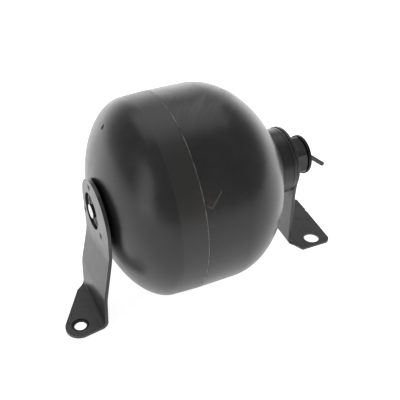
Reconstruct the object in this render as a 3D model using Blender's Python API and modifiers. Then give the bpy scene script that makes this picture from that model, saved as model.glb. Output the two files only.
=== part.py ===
"""Welded diaphragm accumulator lying on its side, with a bent sheet bracket at each pole.

The tank's axis runs along +X: the gas end is at -X, the fluid port at +X.  +Z is up, and the
tank's belly and both brackets' feet rest on Z = 0.  Lengths are in metres.
"""
import math

import bmesh
import bpy
from mathutils import Matrix, Vector

# ---- driving dimensions -------------------------------------------------------------------
TANK_RADIUS = 0.060          # outside radius of the pressure vessel
WALL = 0.0045                # thickness of the drawn steel shells
SHEET = 0.002                # thickness of the bracket sheet
GAP = 0.0003                 # clearance between neighbouring pieces

BAND_LENGTH = 0.238 * TANK_RADIUS        # machined band from the seam to the gas dome's edge
BAND_RADIUS = 0.988 * TANK_RADIUS        # radius at the gas dome's edge
GAS_DOME_DEPTH = 0.4895 * TANK_RADIUS
GAS_DOME_CURVE = (1.711, 2.093)          # exponents of the gas dome's outline
BARREL_LENGTH = 0.406 * TANK_RADIUS      # straight part of the fluid shell
FLUID_DOME_DEPTH = 0.775 * TANK_RADIUS
FLUID_DOME_CURVE = (1.944, 1.803)        # exponents of the fluid dome's outline

SEAT_DEPTH = 0.006           # how far the counterbore for the diaphragm's rim goes each way
SEAT_RADIUS = 0.057          # radius of that counterbore
RIM_INNER_RADIUS = 0.0525    # inner radius of the clamp ring and of the diaphragm's bead
WELD_GROOVE = 0.0016         # depth of the groove the seam weld lies in
DIAPHRAGM_THICKNESS = 0.0020
DIAPHRAGM_CLEAR = 0.0010     # room between the blown-out diaphragm and the fluid dome

FILL_STUD_RADIUS = 0.071 * TANK_RADIUS
FILL_STUD_END = -0.765 * TANK_RADIUS     # outer face of the gas fill stud
FILL_BORE_RADIUS = 0.0022
FILL_SHANK_RADIUS = 0.0018
SEAL_SEAT_RADIUS = 0.0037    # counterbore for the seal under the fill stud's head
SEAL_SEAT_DEPTH = 0.0016

GAS_PLATE_X = -0.757 * TANK_RADIUS       # outer face of the gas-end bracket's plate
GAS_PLATE_RADIUS = 0.371 * TANK_RADIUS
GAS_PLATE_OFFSET = -0.102 * TANK_RADIUS  # the plate's outline sits this far to -Y of the axis
GAS_PLATE_HOLE = 0.185 * TANK_RADIUS
WELD_SPOT_CIRCLE = 0.270 * TANK_RADIUS   # the three plug welds lie on this circle
WELD_SPOT_RADIUS = 0.0016

GAS_FOOT_HOLE = Vector((-1.108, -0.440)) * TANK_RADIUS
GAS_FOOT_NOSE = 0.145 * TANK_RADIUS      # radius of the foot's rounded end
FOOT_HOLE_RADIUS = 0.0050
BOLT_RING_BORE = 0.0036
LOCATING_HOLE = Vector((-1.205, -0.385)) * TANK_RADIUS
LOCATING_HOLE_RADIUS = 0.0009

NECK_RADIUS = 0.340 * TANK_RADIUS        # collar between the fluid dome and the bracket
NECK_SHOULDER_X = 1.320 * TANK_RADIUS
NECK_SHANK_RADIUS = 0.0090               # part of the neck that passes through the shell
SPIGOT_RADIUS = 0.0069                   # M14 spigot that carries the bracket and its nut
PORT_BORE_RADIUS = 0.0040
BUTTON_SEAT_RADIUS = 0.0072  # bore at the neck's inner end that the button shuts
CHAMFER = 0.0004
WELD_LEG = 0.0028

PORT_PLATE_RADIUS = 0.352 * TANK_RADIUS
PORT_PLATE_OFFSET = 0.020 * TANK_RADIUS  # the plate's outline sits this far to +Y of the axis
PORT_FOOT_HOLE = Vector((1.644, -0.284)) * TANK_RADIUS
FOOT_TOP = SHEET - TANK_RADIUS           # height of both feet's top faces, from the axis

WASHER_RADIUS = 0.0140
WASHER_THICKNESS = 0.0012
NUT_ACROSS_FLATS = 0.0228
NUT_LENGTH = 0.0095
NUT_CLOCK = 23.8             # degrees the nut came to rest at
PLUG_RADIUS = 0.0126
PLUG_FLANGE = 0.0022
PLUG_SHANK_LENGTH = 0.0100
PIN_RADIUS = 0.00155
PIN_RUN = Vector((0.0152, 0.0, -0.0124))  # from the plug's face to the end of its pull pin

ROUND_STEPS = 48             # facets round the shells and large rings
SMALL_STEPS = 28             # facets round small turned pieces

# Inner faces of the pieces stacked on the spigot, from the seam.
WASHER_X = NECK_SHOULDER_X + GAP + SHEET + GAP
NUT_X = WASHER_X + WASHER_THICKNESS + GAP
SPIGOT_END_X = NUT_X + NUT_LENGTH
PLUG_X = SPIGOT_END_X + GAP

# The origin is midway between the ends of the gas-end foot and of the plug's pull pin.
PIN_START_X = PLUG_X + PLUG_FLANGE + 2 * GAP + PIN_RADIUS
FOOT_TIP_X = GAS_FOOT_HOLE.x - GAS_FOOT_NOSE
PIN_TIP_X = PIN_START_X + PIN_RUN.x + PIN_RADIUS
SEAM = Vector((-(FOOT_TIP_X + PIN_TIP_X) / 2, 0.0, TANK_RADIUS))

parts = None
cutters = None


def clear_scene():
    for item in list(bpy.data.objects):
        bpy.data.objects.remove(item, do_unlink=True)
    for group in list(bpy.data.collections):
        bpy.data.collections.remove(group)


def new_collection(name):
    group = bpy.data.collections.new(name)
    bpy.context.scene.collection.children.link(group)
    return group


def material(name, colour, roughness, metallic=0.0):
    found = bpy.data.materials.get(name)
    if found:
        return found
    made = bpy.data.materials.new(name)
    made.use_nodes = True
    made.diffuse_color = (*colour, 1.0)
    shader = made.node_tree.nodes["Principled BSDF"]
    shader.inputs["Base Color"].default_value = (*colour, 1.0)
    shader.inputs["Roughness"].default_value = roughness
    shader.inputs["Metallic"].default_value = metallic
    return made


def tank_paint():
    return material("tank_paint", (0.020, 0.020, 0.022), 0.38)


def bracket_paint():
    return material("bracket_paint", (0.030, 0.030, 0.032), 0.45)


def bare_steel():
    return material("bare_steel", (0.55, 0.55, 0.54), 0.35, 1.0)


def black_zinc():
    return material("black_zinc", (0.050, 0.050, 0.052), 0.35, 0.5)


def rubber():
    return material("diaphragm_rubber", (0.015, 0.015, 0.015), 0.80)


def black_plastic():
    return material("plug_plastic", (0.025, 0.025, 0.025), 0.50)


def shade(mesh):
    mesh.shade_smooth()
    mesh.set_sharp_from_angle(angle=math.radians(32))


def add_object(name, mesh, paint, group=None):
    item = bpy.data.objects.new(name, mesh)
    (group or parts).objects.link(item)
    if paint:
        mesh.materials.append(paint)
    return item


# ---- turned pieces ------------------------------------------------------------------------
def turned(name, profile, paint, steps=ROUND_STEPS, at=(0.0, 0.0, 0.0), group=None):
    """Turns (distance along the tank's axis, radius) points about that axis.

    A profile that starts and ends on the axis is left open; any other is a closed loop.
    """
    points = [Vector((radius, 0.0, along)) for along, radius in profile]
    is_open = profile[0][1] == 0 and profile[-1][1] == 0
    turn = sum(a.x * b.z - b.x * a.z for a, b in zip(points, points[1:] + points[:1]))
    if turn > 0:
        points.reverse()
    mesh = bpy.data.meshes.new(name)
    edges = [(i, i + 1) for i in range(len(points) - 1)]
    if not is_open:
        edges.append((len(points) - 1, 0))
    mesh.from_pydata(points, edges, [])
    item = add_object(name, mesh, paint, group)
    item.location = SEAM + Vector(at)
    item.rotation_euler = (0.0, math.pi / 2, 0.0)
    screw = item.modifiers.new("turn", 'SCREW')
    screw.axis = 'Z'
    screw.steps = steps
    screw.render_steps = steps
    screw.use_merge_vertices = True
    screw.merge_threshold = 0.00002
    screw.use_smooth_shade = True
    return item


def ring_profile(start, end, inner, outer, chamfer=0.0):
    """Section of a plain ring, with chamfered outer corners where a chamfer is given."""
    if not chamfer:
        return [(start, inner), (start, outer), (end, outer), (end, inner)]
    return [(start, inner), (start, outer - chamfer), (start + chamfer, outer),
            (end - chamfer, outer), (end, outer - chamfer), (end, inner)]


def dome_radius(depth_fraction, radius, curve):
    """Radius of a dome at a fraction of its depth, from 0 at its edge to 1 at its pole."""
    along, across = curve
    return radius * max(0.0, 1.0 - depth_fraction ** along) ** (1.0 / across)


def dome_depth(at_radius, radius, depth, curve):
    """How far a dome rises above its edge at a given radius."""
    along, across = curve
    return depth * (1.0 - (at_radius / radius) ** across) ** (1.0 / along)


def dome_points(edge, direction, depth, radius, curve, to_radius, count=11):
    """Outline of a dome from its edge to the radius where its pole is bored."""
    last = dome_depth(to_radius, radius, depth, curve) / depth
    points = []
    for i in range(count):
        fraction = last * math.sin(0.5 * math.pi * i / (count - 1))
        points.append((edge + direction * depth * fraction,
                       dome_radius(fraction, radius, curve)))
    return points


def gas_dome_x(radius, offset=0.0):
    """Place of the gas dome's outer face at a radius, moved outward by an offset."""
    return -BAND_LENGTH - dome_depth(radius, BAND_RADIUS, GAS_DOME_DEPTH,
                                     GAS_DOME_CURVE) - offset


def fluid_dome_x(radius, offset=0.0):
    """Place of the fluid dome's outer face at a radius, moved outward by an offset."""
    return BARREL_LENGTH + dome_depth(radius, TANK_RADIUS, FLUID_DOME_DEPTH,
                                      FLUID_DOME_CURVE) + offset


def gas_shell():
    """Drawn half with the tapered band at its rim and the fill bore in its pole."""
    outer = dome_points(-BAND_LENGTH, -1, GAS_DOME_DEPTH, BAND_RADIUS, GAS_DOME_CURVE,
                        SEAL_SEAT_RADIUS)
    inner = dome_points(-BAND_LENGTH, -1, GAS_DOME_DEPTH - WALL, BAND_RADIUS - WALL + 0.0005,
                        GAS_DOME_CURVE, FILL_BORE_RADIUS, 8)
    rim = [(-GAP / 2, SEAT_RADIUS), (-GAP / 2, TANK_RADIUS - WELD_GROOVE),
           (-0.0011, TANK_RADIUS - 0.0001)]
    bore = [(outer[-1][0] + SEAL_SEAT_DEPTH, SEAL_SEAT_RADIUS),
            (outer[-1][0] + SEAL_SEAT_DEPTH, FILL_BORE_RADIUS)]
    seat = [(-SEAT_DEPTH - 0.002, SEAT_RADIUS - 0.0015),
            (-SEAT_DEPTH - 0.002, SEAT_RADIUS)]
    turned("gas_shell", rim + outer + bore + inner[::-1] + seat, tank_paint())


def fluid_shell():
    """Drawn half with a straight barrel and the neck's hole in its pole."""
    hole = NECK_SHANK_RADIUS + GAP
    outer = dome_points(BARREL_LENGTH, 1, FLUID_DOME_DEPTH, TANK_RADIUS, FLUID_DOME_CURVE,
                        hole, 12)
    inner = dome_points(BARREL_LENGTH, 1, FLUID_DOME_DEPTH - WALL, TANK_RADIUS - WALL,
                        FLUID_DOME_CURVE, hole, 8)
    rim = [(GAP / 2, SEAT_RADIUS), (GAP / 2, TANK_RADIUS - WELD_GROOVE),
           (0.0011, TANK_RADIUS)]
    seat = [(SEAT_DEPTH, TANK_RADIUS - WALL), (SEAT_DEPTH, SEAT_RADIUS)]
    turned("fluid_shell", rim + outer + inner[::-1] + seat, tank_paint())


def seam_weld():
    """Weld run lying in the groove between the two shells' rims."""
    profile = [(-0.00065, TANK_RADIUS - 0.0002), (-0.0003, TANK_RADIUS),
               (0.0003, TANK_RADIUS), (0.00065, TANK_RADIUS - 0.0002),
               (0.0001, TANK_RADIUS - 0.0012), (-0.0001, TANK_RADIUS - 0.0012)]
    turned("seam_weld", profile, tank_paint())


def clamp_ring():
    """Steel ring that presses the diaphragm's bead into the fluid shell's counterbore."""
    profile = ring_profile(-SEAT_DEPTH - 0.002 + GAP, -GAP / 2, RIM_INNER_RADIUS,
                           SEAT_RADIUS - GAP, 0.0006)
    turned("diaphragm_clamp_ring", profile, bare_steel())


def diaphragm():
    """Rubber diaphragm at rest: blown out against the fluid dome by the gas charge."""
    hole = 0.0028
    depth = FLUID_DOME_DEPTH - WALL - DIAPHRAGM_CLEAR
    radius = TANK_RADIUS - WALL - DIAPHRAGM_CLEAR
    outer = dome_points(BARREL_LENGTH, 1, depth, radius, FLUID_DOME_CURVE, hole, 9)
    inner = dome_points(BARREL_LENGTH, 1, depth - DIAPHRAGM_THICKNESS,
                        radius - DIAPHRAGM_THICKNESS, FLUID_DOME_CURVE, hole, 8)
    bead = [(GAP, RIM_INNER_RADIUS), (GAP, SEAT_RADIUS - GAP),
            (SEAT_DEPTH - GAP, SEAT_RADIUS - GAP), (SEAT_DEPTH - GAP, radius)]
    turned("diaphragm", bead + outer + inner[::-1], rubber(), 32)


def closing_button():
    """Steel button clamped through the diaphragm's pole; it shuts the port when empty."""
    pole = BARREL_LENGTH + FLUID_DOME_DEPTH - WALL
    profile = [(pole + 0.0018, 0.0), (pole + 0.0018, 0.0056), (pole + 0.0012, 0.0062),
               (pole - 0.0006, 0.0062), (pole - 0.0006, 0.0024), (pole - 0.0041, 0.0024),
               (pole - 0.0041, 0.0080), (pole - 0.0059, 0.0074), (pole - 0.0059, 0.0)]
    turned("closing_button", profile, bare_steel(), SMALL_STEPS)


def gas_fill_plug():
    """Stud that closes the fill bore: its round head stands just proud of the bracket."""
    base = gas_dome_x(0.0) - GAP
    profile = [(FILL_STUD_END, 0.0), (FILL_STUD_END, FILL_STUD_RADIUS - 0.0003),
               (FILL_STUD_END + 0.0003, FILL_STUD_RADIUS), (base, FILL_STUD_RADIUS),
               (base, FILL_SHANK_RADIUS), (base + WALL + 0.0022, FILL_SHANK_RADIUS),
               (base + WALL + 0.0022, 0.0)]
    turned("gas_fill_plug", profile, bare_steel(), SMALL_STEPS)


def fill_plug_seal():
    """Sealing ring in the counterbore under the fill plug's head."""
    top = gas_dome_x(SEAL_SEAT_RADIUS)
    turned("fill_plug_seal", ring_profile(top + 0.0002, top + SEAL_SEAT_DEPTH - GAP,
                                          FILL_BORE_RADIUS, SEAL_SEAT_RADIUS - GAP),
           rubber(), SMALL_STEPS)


# ---- port fittings ------------------------------------------------------------------------
def port_neck():
    """Machined neck: seat for the button, shank in the shell, collar and threaded spigot."""
    inside = BARREL_LENGTH + FLUID_DOME_DEPTH - WALL - 0.0002
    saddle = []
    for i in range(5):
        radius = NECK_SHANK_RADIUS + (NECK_RADIUS - NECK_SHANK_RADIUS) * i / 4
        saddle.append((fluid_dome_x(max(radius, NECK_SHANK_RADIUS + GAP), 0.0005), radius))
    profile = [(inside, BUTTON_SEAT_RADIUS), (inside, NECK_SHANK_RADIUS)] + saddle + [
        (NECK_SHOULDER_X - 0.0005, NECK_RADIUS), (NECK_SHOULDER_X, NECK_RADIUS - 0.0005),
        (NECK_SHOULDER_X, SPIGOT_RADIUS), (SPIGOT_END_X - 2 * CHAMFER, SPIGOT_RADIUS),
        (SPIGOT_END_X, SPIGOT_RADIUS - 2 * CHAMFER),
        (SPIGOT_END_X, PORT_BORE_RADIUS + CHAMFER),
        (SPIGOT_END_X - CHAMFER, PORT_BORE_RADIUS), (inside + 0.0035, PORT_BORE_RADIUS),
        (inside + 0.0027, BUTTON_SEAT_RADIUS)]
    turned("port_neck", profile, tank_paint(), 36)


def neck_weld():
    """Fillet weld round the foot of the neck's collar."""
    inner = NECK_RADIUS + GAP
    foot = NECK_RADIUS + WELD_LEG
    middle = (inner + foot) / 2
    profile = [(fluid_dome_x(inner, 0.0005), inner), (fluid_dome_x(middle, 0.0005), middle),
               (fluid_dome_x(foot, 0.0005), foot), (fluid_dome_x(foot, 0.0012), foot),
               (fluid_dome_x(middle, 0.0020), middle),
               (fluid_dome_x(inner, WELD_LEG), inner)]
    turned("neck_weld", profile, tank_paint(), 36)


def bracket_washer():
    turned("bracket_washer", ring_profile(WASHER_X, WASHER_X + WASHER_THICKNESS,
                                          SPIGOT_RADIUS + 0.0005, WASHER_RADIUS, 0.0002),
           black_zinc(), 36)


def bracket_nut():
    """Hexagon nut on the spigot, chamfered at its outer end."""
    corner = NUT_ACROSS_FLATS / math.sqrt(3.0)
    mesh = bpy.data.meshes.new("bracket_nut")
    bm = bmesh.new()
    bmesh.ops.create_cone(bm, cap_ends=True, segments=6, radius1=corner, radius2=corner,
                          depth=NUT_LENGTH,
                          matrix=Matrix.Translation((0, 0, NUT_X + NUT_LENGTH / 2)))
    bmesh.ops.rotate(bm, verts=bm.verts,
                     matrix=Matrix.Rotation(math.radians(NUT_CLOCK), 3, 'Z'))
    bm.to_mesh(mesh)
    bm.free()
    nut = add_object("bracket_nut", mesh, black_zinc())
    nut.location = SEAM
    nut.rotation_euler = (0.0, math.pi / 2, 0.0)
    chamfer = [(NUT_X - 0.001, 0.0), (NUT_X - 0.001, corner + 0.001),
               (SPIGOT_END_X - 0.0011, corner + 0.001),
               (SPIGOT_END_X + CHAMFER, NUT_ACROSS_FLATS / 2 - 0.0007),
               (SPIGOT_END_X + CHAMFER, 0.0)]
    cut(nut, turned("nut_chamfer_tool", chamfer, None, SMALL_STEPS, group=cutters), 'INTERSECT')
    bore = [(NUT_X - 0.002, 0.0), (NUT_X - 0.002, SPIGOT_RADIUS + GAP),
            (SPIGOT_END_X + 0.002, SPIGOT_RADIUS + GAP), (SPIGOT_END_X + 0.002, 0.0)]
    cut(nut, turned("nut_bore_tool", bore, None, SMALL_STEPS, group=cutters))


def transport_plug():
    """Plastic plug that keeps dirt out of the port until the line is fitted."""
    shank = PORT_BORE_RADIUS - GAP
    face = PLUG_X + PLUG_FLANGE
    tip = PLUG_X - PLUG_SHANK_LENGTH
    profile = [(face, 0.0), (face, PLUG_RADIUS - CHAMFER), (face - CHAMFER, PLUG_RADIUS),
               (PLUG_X, PLUG_RADIUS), (PLUG_X, shank), (tip + 0.0010, shank),
               (tip, shank - 2 * CHAMFER), (tip, 0.0)]
    turned("transport_plug", profile, black_plastic(), 36)


def plug_pull_pin():
    """Slim pin, set in the plug's face and leaning down, that the plug is pulled out by."""
    length = PIN_RUN.length
    mesh = bpy.data.meshes.new("plug_pull_pin")
    bm = bmesh.new()
    bmesh.ops.create_uvsphere(bm, u_segments=12, v_segments=8, radius=PIN_RADIUS)
    for vert in bm.verts:
        if vert.co.z > 0.00001:
            vert.co.z += length
    bm.to_mesh(mesh)
    bm.free()
    pin = add_object("plug_pull_pin", mesh, black_zinc())
    pin.location = SEAM + Vector((PIN_START_X, 0.0, 0.0))
    pin.rotation_mode = 'QUATERNION'
    pin.rotation_quaternion = PIN_RUN.to_track_quat('Z', 'Y')


# ---- brackets -----------------------------------------------------------------------------
def arc(centre, radius, start, end, count):
    """Points of an arc in a plane, angles in degrees."""
    points = []
    for i in range(count):
        angle = math.radians(start + (end - start) * i / (count - 1))
        points.append((centre[0] + radius * math.cos(angle),
                       centre[1] + radius * math.sin(angle)))
    return points


def folded_sheet(name, plate, folds, foot, bends, side):
    """Bent sheet: a plate, folded along creases, and then a foot.

    The plate's outline begins with the first crease's two ends, folds hold the two ends of
    each later crease in the same order, foot is the outline from the last crease's first end
    round to its second, and bends are the radii at the creases.
    """
    bm = bmesh.new()
    start = [bm.verts.new(point) for point in plate]
    bm.faces.new(start)
    crease = bm.edges.get((start[0], start[1]))
    ends = [start[0], start[1]]
    creases = [crease]
    for first, second in folds:
        made = bmesh.ops.extrude_edge_only(bm, edges=[crease])["geom"]
        fresh = [item for item in made if isinstance(item, bmesh.types.BMVert)]
        fresh.sort(key=lambda vert: (vert.co - ends[0].co).length)
        fresh[0].co = first
        fresh[1].co = second
        ends = fresh
        crease = bm.edges.get(ends)
        creases.append(crease)
    rest = [bm.verts.new(point) for point in foot]
    bm.faces.new([ends[0]] + rest + [ends[1]])
    bmesh.ops.recalc_face_normals(bm, faces=bm.faces)
    for edge, radius in zip(creases, bends):
        bmesh.ops.bevel(bm, geom=[edge], offset=radius, offset_type='OFFSET', segments=4,
                        profile=0.5, affect='EDGES', material=-1)
    bm.normal_update()
    facing = sum(face.normal.x * face.calc_area() for face in bm.faces)
    if facing * side < 0:
        bmesh.ops.reverse_faces(bm, faces=bm.faces)
    mesh = bpy.data.meshes.new(name)
    bm.to_mesh(mesh)
    bm.free()
    item = add_object(name, mesh, bracket_paint())
    item.location = SEAM
    thicken = item.modifiers.new("thickness", 'SOLIDIFY')
    thicken.thickness = SHEET
    thicken.offset = -1.0
    thicken.use_even_offset = True
    return item


def cut(item, tool, operation='DIFFERENCE'):
    tool.hide_render = True
    tool.display_type = 'WIRE'
    step = item.modifiers.new(tool.name, 'BOOLEAN')
    step.operation = operation
    step.object = tool


def drill(item, name, centre, radius, axis='Z', steps=SMALL_STEPS):
    """Cuts a round hole right through the sheet at a point measured from the seam's centre."""
    bm = bmesh.new()
    bmesh.ops.create_cone(bm, cap_ends=True, segments=steps, radius1=radius, radius2=radius,
                          depth=0.012)
    if axis == 'X':
        bmesh.ops.rotate(bm, verts=bm.verts, matrix=Matrix.Rotation(math.pi / 2, 3, 'Y'))
    mesh = bpy.data.meshes.new(name)
    bm.to_mesh(mesh)
    bm.free()
    tool = add_object(name, mesh, None, cutters)
    tool.location = SEAM + Vector(centre)
    cut(item, tool)


def scaled(x, y, z):
    """A point given in tank radii from the seam's centre."""
    return Vector((x, y, z)) * TANK_RADIUS


def weld_spot_places():
    places = []
    for clock in (90, 210, 330):
        angle = math.radians(clock)
        places.append((WELD_SPOT_CIRCLE * math.cos(angle), WELD_SPOT_CIRCLE * math.sin(angle)))
    return places


def gas_end_bracket():
    """Round plate welded to the gas dome, a strap that steps outward, and a foot to -X."""
    level = FOOT_TOP / TANK_RADIUS
    plate = [scaled(-0.757, -0.452, -0.247), scaled(-0.757, 0.272, -0.379)]
    for y, z in arc((GAS_PLATE_OFFSET, 0.0), GAS_PLATE_RADIUS, -8, 188, 25):
        plate.append(Vector((GAS_PLATE_X, y, z)))
    step = (scaled(-0.863, -0.508, -0.690), scaled(-0.866, 0.205, -0.735))
    bend = (scaled(-0.893, -0.556, level), scaled(-0.900, 0.115, level))
    foot = []
    for x, y in arc(GAS_FOOT_HOLE, GAS_FOOT_NOSE, 270, 147, 13):
        foot.append(Vector((x, y, FOOT_TOP)))
    foot.append(scaled(-0.990, 0.042, level))
    foot.append(scaled(-0.960, 0.065, level))
    bracket = folded_sheet("gas_end_bracket", plate, [step, bend], foot,
                           (0.0030, 0.0025, 0.0020), -1)
    drill(bracket, "gas_plate_hole_tool", (GAS_PLATE_X, 0, 0), GAS_PLATE_HOLE, 'X', 48)
    for i, (y, z) in enumerate(weld_spot_places()):
        drill(bracket, f"weld_spot_hole_tool_{i}", (GAS_PLATE_X, y, z),
              WELD_SPOT_RADIUS + GAP, 'X', 16)
    drill(bracket, "gas_foot_hole_tool", (*GAS_FOOT_HOLE, FOOT_TOP), FOOT_HOLE_RADIUS)
    drill(bracket, "locating_hole_tool", (*LOCATING_HOLE, FOOT_TOP), LOCATING_HOLE_RADIUS,
          'Z', 12)


def plate_welds():
    """Three plug welds that hold the plate to the gas dome."""
    near = gas_dome_x(WELD_SPOT_CIRCLE, 0.0005)
    far = GAS_PLATE_X - 0.0004
    profile = [(near, 0.0), (near, WELD_SPOT_RADIUS), (far + 0.0004, WELD_SPOT_RADIUS),
               (far, WELD_SPOT_RADIUS - 0.0006), (far, 0.0)]
    for i, (y, z) in enumerate(weld_spot_places()):
        turned(f"plate_weld_{i + 1}", profile, bracket_paint(), 16, (0.0, y, z))


def foot_bolt_ring():
    """Ring pressed into the gas-end foot's hole, which keeps the bolt from dropping."""
    ring = turned("foot_bolt_ring", ring_profile(GAP, SHEET - GAP, BOLT_RING_BORE,
                                                 FOOT_HOLE_RADIUS - GAP),
                  black_plastic(), SMALL_STEPS, (*GAS_FOOT_HOLE, -TANK_RADIUS))
    ring.rotation_euler = (0.0, 0.0, 0.0)


def port_end_bracket():
    """Round-topped plate clamped by the nut, a strap that leans outward, and a foot to +X."""
    face = NECK_SHOULDER_X + GAP + SHEET
    level = FOOT_TOP / TANK_RADIUS
    plate = [Vector((face, 0.325 * TANK_RADIUS, -0.250 * TANK_RADIUS)),
             Vector((face, -0.297 * TANK_RADIUS, -0.250 * TANK_RADIUS))]
    for y, z in arc((PORT_PLATE_OFFSET, 0.0), PORT_PLATE_RADIUS, 200, -20, 25):
        plate.append(Vector((face, y, z)))
    bend = (scaled(1.430, 0.235, level), scaled(1.393, -0.243, level))
    foot = [scaled(1.465, 0.233, level), scaled(1.478, 0.430, level),
            scaled(1.852, 0.430, level), scaled(1.886, 0.396, level),
            scaled(1.872, 0.195, level), scaled(1.860, 0.172, level),
            scaled(1.866, 0.140, level)]
    for x, y in arc((1.752, -0.338), 0.072, 3, -90, 6):
        foot.append(scaled(x, y, level))
    foot.append(scaled(1.460, -0.401, level))
    bracket = folded_sheet("port_end_bracket", plate, [bend], foot, (0.0040, 0.0014), 1)
    drill(bracket, "port_plate_hole_tool", (face, 0, 0), SPIGOT_RADIUS + 0.0005, 'X')
    drill(bracket, "port_foot_hole_tool", (*PORT_FOOT_HOLE, FOOT_TOP), FOOT_HOLE_RADIUS)


# ---- assembly -----------------------------------------------------------------------------
def carry(name, items):
    """Parents the pieces that move together to an empty on their joint's axis."""
    empty = bpy.data.objects.new(name, None)
    empty.empty_display_size = 0.01
    empty.location = SEAM
    parts.objects.link(empty)
    bpy.context.view_layer.update()
    for item in items:
        item.parent = empty
        item.matrix_parent_inverse = empty.matrix_world.inverted()


clear_scene()
parts = new_collection("diaphragm_accumulator")
cutters = new_collection("cutters")

gas_shell()
fluid_shell()
seam_weld()
clamp_ring()
diaphragm()
closing_button()
gas_fill_plug()
fill_plug_seal()
port_neck()
neck_weld()
gas_end_bracket()
plate_welds()
foot_bolt_ring()
port_end_bracket()
bracket_washer()
bracket_nut()
transport_plug()
plug_pull_pin()
carry("button_slide", [bpy.data.objects["closing_button"]])
carry("plug_slide", [bpy.data.objects["transport_plug"], bpy.data.objects["plug_pull_pin"]])
for built in parts.objects:
    if built.type == 'MESH' and built.data.polygons:
        shade(built.data)
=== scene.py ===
import bmesh
import bpy
import math
from mathutils import Matrix, Vector


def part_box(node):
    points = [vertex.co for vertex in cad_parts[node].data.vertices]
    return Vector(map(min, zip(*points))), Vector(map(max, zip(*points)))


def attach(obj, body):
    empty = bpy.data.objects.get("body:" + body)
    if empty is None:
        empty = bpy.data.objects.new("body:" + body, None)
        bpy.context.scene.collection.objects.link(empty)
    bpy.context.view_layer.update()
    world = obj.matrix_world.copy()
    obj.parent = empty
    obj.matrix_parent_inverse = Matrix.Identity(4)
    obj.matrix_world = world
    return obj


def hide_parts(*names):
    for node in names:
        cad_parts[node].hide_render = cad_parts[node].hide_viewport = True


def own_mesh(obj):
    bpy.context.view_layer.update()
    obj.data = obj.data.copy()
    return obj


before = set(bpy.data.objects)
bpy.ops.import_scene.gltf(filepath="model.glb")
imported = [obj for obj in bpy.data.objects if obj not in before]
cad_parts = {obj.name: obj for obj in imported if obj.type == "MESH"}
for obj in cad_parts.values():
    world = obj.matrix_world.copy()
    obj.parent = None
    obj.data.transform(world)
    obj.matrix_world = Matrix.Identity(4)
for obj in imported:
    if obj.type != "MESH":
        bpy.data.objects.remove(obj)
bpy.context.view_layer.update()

# the tank's axis runs along X, the gas end at -X and the fluid port at +X
seamLow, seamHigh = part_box("seam_weld")
seam = (seamLow + seamHigh) / 2
tankRadius = (seamHigh.z - seamLow.z) / 2
mm = 0.001
sheet = 2.0 * mm
gap = 0.3 * mm  # clearance between neighbouring pieces
seatClearance = 0.5 * mm  # room between the domes and what is welded to them
mergeDistance = 0.004 * mm
sheetEdge = 0.28 * mm  # rounding of the brackets' edges

# lengths without mm are in tank radii
tank = {"wall": 4.5 * mm, "bandLength": 0.238, "bandRadius": 0.988, "gasDepth": 0.4895,
        "gasCurve": (1.711, 2.093), "barrel": 0.406, "fluidDepth": 0.775,
        "fluidCurve": (1.944, 1.803), "seatRadius": 57.0 * mm, "seatDepth": 6.0 * mm,
        "bandStep": 0.06 * mm, "stepRun": 0.10 * mm, "sealSeat": 3.7 * mm,
        "sealSeatDepth": 1.6 * mm, "fillBore": 2.2 * mm, "neckHole": 9.3 * mm,
        "buttonSeat": 7.2 * mm, "steps": 192, "outlinePoints": 48, "innerPoints": 24}


def fromSeam(x, y=0.0, z=0.0):
    # a point given in tank radii from the middle of the seam
    return Vector((x, y, z)) * tankRadius + seam


def keepMesh(bm, name, finish, body, nodes, smoothAngle=35):
    mesh = bpy.data.meshes.new(name)
    bm.to_mesh(mesh)
    bm.free()
    mesh.materials.append(finish)
    mesh.shade_smooth()
    mesh.set_sharp_from_angle(angle=math.radians(smoothAngle))
    piece = bpy.data.objects.new(name, mesh)
    bpy.context.scene.collection.objects.link(piece)
    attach(piece, body)
    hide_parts(*nodes)
    return piece


def spinAround(bm, geom, centre, axis, steps):
    bmesh.ops.spin(bm, geom=geom, cent=centre, axis=axis, angle=2 * math.pi, steps=steps,
                   use_merge=True)
    bmesh.ops.remove_doubles(bm, verts=bm.verts, dist=mergeDistance)
    bmesh.ops.recalc_face_normals(bm, faces=bm.faces)


def spinProfile(points, steps, centre=None):
    # points are (distance along the axis from the seam, radius), in metres
    bm = bmesh.new()
    centre = centre or seam
    verts = [bm.verts.new(centre + Vector((along, 0.0, radius))) for along, radius in points]
    edges = [bm.edges.new(pair) for pair in zip(verts, verts[1:])]
    if points[0][1] > 0 or points[-1][1] > 0:
        edges.append(bm.edges.new((verts[-1], verts[0])))
    spinAround(bm, verts + edges, centre, (1, 0, 0), steps)
    return bm


def arcPoints(centre, radius, start, end, count):
    points = []
    for i in range(count):
        angle = math.radians(start + (end - start) * i / (count - 1))
        points.append((centre[0] + radius * math.cos(angle),
                       centre[1] + radius * math.sin(angle)))
    return points


def newFinish(name, colour, roughness, metallic=0.0, specular=0.5):
    finish = bpy.data.materials.new(name)
    finish.use_nodes = True
    finish.diffuse_color = (*colour, 1.0)
    shader = finish.node_tree.nodes["Principled BSDF"]
    shader.inputs["Base Color"].default_value = (*colour, 1.0)
    shader.inputs["Roughness"].default_value = roughness
    shader.inputs["Metallic"].default_value = metallic
    shader.inputs["Specular IOR Level"].default_value = specular
    return finish


def addNode(finish, kind, **settings):
    node = finish.node_tree.nodes.new(kind)
    for key, value in settings.items():
        if key in node.inputs:
            node.inputs[key].default_value = value
        else:
            setattr(node, key, value)
    return node


def link(finish, source, target):
    finish.node_tree.links.new(source, target)


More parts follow.
